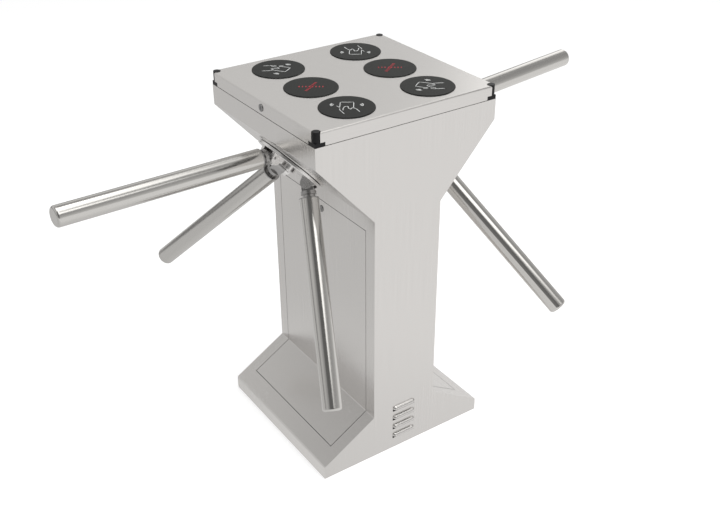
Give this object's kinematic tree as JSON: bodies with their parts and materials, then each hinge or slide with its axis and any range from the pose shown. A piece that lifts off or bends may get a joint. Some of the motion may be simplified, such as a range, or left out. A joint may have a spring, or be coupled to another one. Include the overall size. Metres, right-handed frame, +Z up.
{
  "type": "tripod turnstile",
  "caption": "Waisted stainless pedestal turnstile with a drop-arm tripod head on each side, round reader and indicator discs in its lid, and access panels.",
  "frame": {"origin": "on the floor under the middle of the pedestal", "axes": "+X across the two passages, +Y along the walking direction, +Z up"},
  "size_m": [1.5604, 0.8562, 0.982],
  "materials": {
    "satin_stainless": "satin",
    "polished_stainless": "polished",
    "machined_steel": "machined",
    "zinc_plated_steel": "plated",
    "dark_disc_plastic": "matte",
    "black_plastic": "matte",
    "circuit_board": "lacquered"
  },
  "bodies": {
    "housing": {"base_frame": "machined_steel", "equipment_plate": "zinc_plated_steel", "front_plate": "satin_stainless", "back_plate": "satin_stainless", "left_skin": "satin_stainless", "right_skin": "satin_stainless", "lid_ledge": "zinc_plated_steel", "corner_posts": "black_plastic", "control_board": "circuit_board", "power_supply": "machined_steel", "left_head_housing": "machined_steel", "right_head_housing": "machined_steel", "hub_escutcheons": "satin_stainless", "shaft_bearings": "machined_steel", "lock_solenoids": "zinc_plated_steel", "detent_springs": "machined_steel"},
    "lid": {"lid": "satin_stainless", "left_front_reader_disc": "dark_disc_plastic", "left_back_reader_disc": "dark_disc_plastic", "right_front_reader_disc": "dark_disc_plastic", "right_back_reader_disc": "dark_disc_plastic", "left_indicator_disc": "dark_disc_plastic", "right_indicator_disc": "dark_disc_plastic", "disc_boards": "circuit_board"},
    "left_lid_lock": {"left_lid_lock": "machined_steel"},
    "left_access_panel": {"left_access_panel": "satin_stainless"},
    "left_panel_lock": {"left_panel_lock": "machined_steel"},
    "left_tripod": {"left_hub": "polished_stainless", "left_shaft": "machined_steel", "left_index_wheel": "machined_steel", "left_head_fasteners": "zinc_plated_steel"},
    "left_arm_1": {"left_knuckle_1": "zinc_plated_steel", "left_arm_tube_1": "polished_stainless", "left_arm_cap_1": "polished_stainless"},
    "left_arm_2": {"left_knuckle_2": "zinc_plated_steel", "left_arm_tube_2": "polished_stainless", "left_arm_cap_2": "polished_stainless"},
    "left_arm_3": {"left_knuckle_3": "zinc_plated_steel", "left_arm_tube_3": "polished_stainless", "left_arm_cap_3": "polished_stainless"},
    "left_detent_lever": {"left_detent_lever": "zinc_plated_steel"},
    "left_lock_bolt": {"left_lock_bolt": "zinc_plated_steel"},
    "right_lid_lock": {"right_lid_lock": "machined_steel"},
    "right_access_panel": {"right_access_panel": "satin_stainless"},
    "right_panel_lock": {"right_panel_lock": "machined_steel"},
    "right_tripod": {"right_hub": "polished_stainless", "right_shaft": "machined_steel", "right_index_wheel": "machined_steel", "right_head_fasteners": "zinc_plated_steel"},
    "right_arm_1": {"right_knuckle_1": "zinc_plated_steel", "right_arm_tube_1": "polished_stainless", "right_arm_cap_1": "polished_stainless"},
    "right_arm_2": {"right_knuckle_2": "zinc_plated_steel", "right_arm_tube_2": "polished_stainless", "right_arm_cap_2": "polished_stainless"},
    "right_arm_3": {"right_knuckle_3": "zinc_plated_steel", "right_arm_tube_3": "polished_stainless", "right_arm_cap_3": "polished_stainless"},
    "right_detent_lever": {"right_detent_lever": "zinc_plated_steel"},
    "right_lock_bolt": {"right_lock_bolt": "zinc_plated_steel"}
  },
  "joints": [
    {"name": "lid_lift_off", "type": "slide", "parent": "housing", "child": "lid", "axis": [0, 0, 1], "range_m": [0, 0.12]},
    {"name": "left_lid_lock_turn", "type": "hinge", "parent": "lid", "child": "left_lid_lock", "pos_m": [-0.255, -0.007, 0.9635], "axis": [-1, 0, 0], "range_deg": [0, 90]},
    {"name": "left_access_panel_lift_off", "type": "slide", "parent": "housing", "child": "left_access_panel", "axis": [-1, 0, 0], "range_m": [0, 0.06]},
    {"name": "left_panel_lock_turn", "type": "hinge", "parent": "left_access_panel", "child": "left_panel_lock", "pos_m": [-0.0975, -0.003, 0.65408], "axis": [-1, 0, 0], "range_deg": [0, 90]},
    {"name": "left_tripod_turn", "type": "hinge", "parent": "housing", "child": "left_tripod", "pos_m": [-0.17625, 0, 0.80554], "axis": [-0.7431, 0, -0.6691], "continuous": true},
    {"name": "left_arm_1_drop", "type": "hinge", "parent": "left_tripod", "child": "left_arm_1", "pos_m": [-0.23708, -0.0084, 0.84022], "axis": [0.0839, -0.9921, -0.0931], "range_deg": [0, 93]},
    {"name": "left_arm_2_drop", "type": "hinge", "parent": "left_tripod", "child": "left_arm_2", "pos_m": [-0.17523, 0.06177, 0.77152], "axis": [-0.6168, 0.3875, 0.6851], "range_deg": [0, 40]},
    {"name": "left_arm_3_drop", "type": "hinge", "parent": "left_tripod", "child": "left_arm_3", "pos_m": [-0.16549, -0.05337, 0.76072], "axis": [0.533, 0.6046, -0.5919], "range_deg": [0, 40]},
    {"name": "left_detent_lever_swing", "type": "hinge", "parent": "housing", "child": "left_detent_lever", "pos_m": [-0.13502, -0.0614, 0.90322], "axis": [-0.7431, 0, -0.6691], "range_deg": [0, 6], "stiffness_Nm_per_rad": 8, "deforming": ["detent_springs"]},
    {"name": "left_lock_bolt_slide", "type": "slide", "parent": "housing", "child": "left_lock_bolt", "axis": [0, -1, 0], "range_m": [0, 0.008], "stiffness_N_per_m": 300},
    {"name": "right_lid_lock_turn", "type": "hinge", "parent": "lid", "child": "right_lid_lock", "pos_m": [0.255, 0.007, 0.9635], "axis": [1, 0, 0], "range_deg": [0, 90]},
    {"name": "right_access_panel_lift_off", "type": "slide", "parent": "housing", "child": "right_access_panel", "axis": [1, 0, 0], "range_m": [0, 0.06]},
    {"name": "right_panel_lock_turn", "type": "hinge", "parent": "right_access_panel", "child": "right_panel_lock", "pos_m": [0.0975, 0.003, 0.65408], "axis": [1, 0, 0], "range_deg": [0, 90]},
    {"name": "right_tripod_turn", "type": "hinge", "parent": "housing", "child": "right_tripod", "pos_m": [0.17625, 0, 0.80554], "axis": [0.7431, 0, -0.6691], "continuous": true},
    {"name": "right_arm_1_drop", "type": "hinge", "parent": "right_tripod", "child": "right_arm_1", "pos_m": [0.23708, 0.0084, 0.84022], "axis": [-0.0839, 0.9921, -0.0931], "range_deg": [0, 93]},
    {"name": "right_arm_2_drop", "type": "hinge", "parent": "right_tripod", "child": "right_arm_2", "pos_m": [0.17523, -0.06177, 0.77152], "axis": [0.6168, -0.3875, 0.6851], "range_deg": [0, 40]},
    {"name": "right_arm_3_drop", "type": "hinge", "parent": "right_tripod", "child": "right_arm_3", "pos_m": [0.16549, 0.05337, 0.76072], "axis": [-0.533, -0.6046, -0.5919], "range_deg": [0, 40]},
    {"name": "right_detent_lever_swing", "type": "hinge", "parent": "housing", "child": "right_detent_lever", "pos_m": [0.13502, 0.0614, 0.90322], "axis": [0.7431, 0, -0.6691], "range_deg": [0, 6], "stiffness_Nm_per_rad": 8, "deforming": ["detent_springs"]},
    {"name": "right_lock_bolt_slide", "type": "slide", "parent": "housing", "child": "right_lock_bolt", "axis": [0, 1, 0], "range_m": [0, 0.008], "stiffness_N_per_m": 300}
  ]
}
